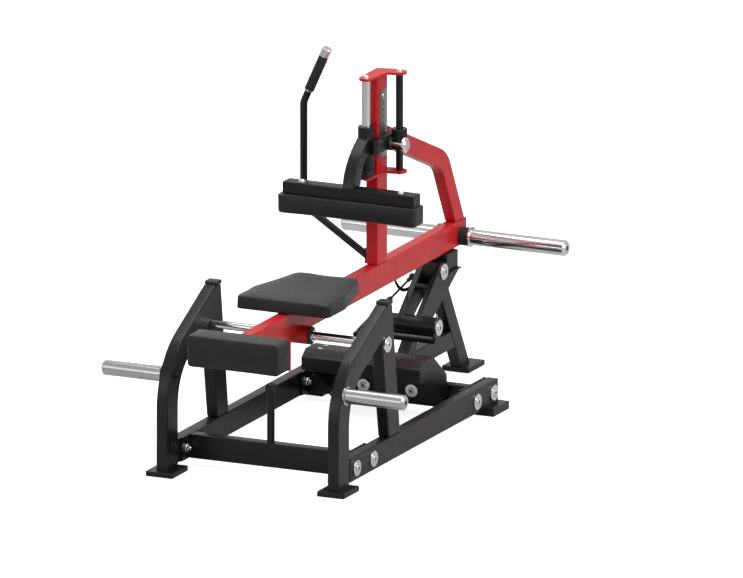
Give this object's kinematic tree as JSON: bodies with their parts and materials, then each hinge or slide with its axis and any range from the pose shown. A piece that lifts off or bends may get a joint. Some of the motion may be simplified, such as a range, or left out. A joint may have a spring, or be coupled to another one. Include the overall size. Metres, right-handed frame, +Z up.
{
  "type": "plate-loaded seated calf machine",
  "caption": "Plate-loaded lever machine with a travelling seat, adjustable knee pad, weight horns and a bolted floor frame",
  "frame": {"origin": "middle of the machine's width and length at floor level", "axes": "+X to the right of a user who faces the rear, +Y from the front pad to the rear foot, +Z up"},
  "size_m": [1.0686, 1.821, 1.205],
  "materials": {
    "black_paint": "satin",
    "red_paint": "gloss",
    "chrome": "polished",
    "rubber": "matte",
    "pad_vinyl": "satin",
    "black_plastic": "matte"
  },
  "bodies": {
    "base": {"left_a_frame": "black_paint", "right_a_frame": "black_paint", "left_rail": "black_paint", "right_rail": "black_paint", "front_crossbeam": "black_paint", "rear_crossbeam": "black_paint", "toe_block": "black_paint", "rear_leg": "black_paint", "spine": "black_paint", "prop_stand": "black_paint", "axle": "chrome", "left_axle_cap": "chrome", "right_axle_cap": "chrome", "left_storage_horn": "chrome", "right_storage_horn": "chrome", "prop_pivot_pin": "chrome", "spine_bolt_left": "chrome", "spine_bolt_right": "chrome", "left_front_bolt": "chrome", "left_front_inner_bolt": "chrome", "left_rear_inner_bolt": "chrome", "left_rear_bolt": "chrome", "right_front_bolt": "chrome", "right_front_inner_bolt": "chrome", "right_rear_inner_bolt": "chrome", "right_rear_bolt": "chrome", "stop_buffer": "rubber", "left_upright_cap": "black_plastic", "right_upright_cap": "black_plastic"},
    "lever": {"lever_beam": "red_paint", "left_hub_ring": "rubber", "right_hub_ring": "rubber", "front_pad": "pad_vinyl", "bumper_block": "black_paint", "seat_pad": "pad_vinyl", "seat_bracket": "black_paint", "knee_post": "red_paint", "front_guide_rod": "chrome", "side_guide_rod": "black_paint", "rod_buffer": "rubber", "scale_plate": "chrome", "rear_arch": "red_paint", "left_horn_collar": "rubber", "right_horn_collar": "rubber", "left_weight_horn": "chrome", "right_weight_horn": "chrome", "handle_bar": "black_paint", "handle_ring": "chrome", "handle_grip": "rubber", "handle_end": "chrome"},
    "carriage": {"knee_carriage": "black_paint", "pad_beam": "black_paint", "knee_pad": "pad_vinyl"},
    "pin": {"pull_pin": "chrome"},
    "support": {"support_arms": "black_paint", "support_roller": "rubber", "roller_pin": "chrome"},
    "damper_body": {"damper_tube": "black_paint"},
    "damper_rod": {"damper_rod": "black_paint"}
  },
  "joints": [
    {"name": "lever_pivot", "type": "hinge", "parent": "base", "child": "lever", "pos_m": [0, -0.4265, 0.419], "axis": [1, 0, 0], "range_deg": [0, 32]},
    {"name": "carriage_slide", "type": "slide", "parent": "lever", "child": "carriage", "axis": [0, 0, 1], "range_m": [0, 0.1314]},
    {"name": "pin_pull", "type": "slide", "parent": "carriage", "child": "pin", "axis": [1, 0, 0], "range_m": [0, 0.015], "stiffness_N_per_m": 300, "springref_m": -0.01},
    {"name": "support_swing", "type": "hinge", "parent": "base", "child": "support", "pos_m": [0, 0.4455, 0.24], "axis": [1, 0, 0], "range_deg": [0, 20]},
    {"name": "damper_swing", "type": "hinge", "parent": "base", "child": "damper_body", "pos_m": [-0.055, 0.1495, 0.273], "axis": [1, 0, 0], "range_deg": [0, 7]},
    {"name": "damper_slide", "type": "slide", "parent": "damper_body", "child": "damper_rod", "axis": [0, 0.9789, 0.2045], "range_m": [-0.04, 0]}
  ],
  "couplings": [
    {"joint": "support_swing", "follows": "lever_pivot", "ratio": 0.6},
    {"joint": "damper_swing", "follows": "lever_pivot", "ratio": 0.2018},
    {"joint": "damper_slide", "follows": "lever_pivot", "m_per_rad": -0.0659}
  ]
}
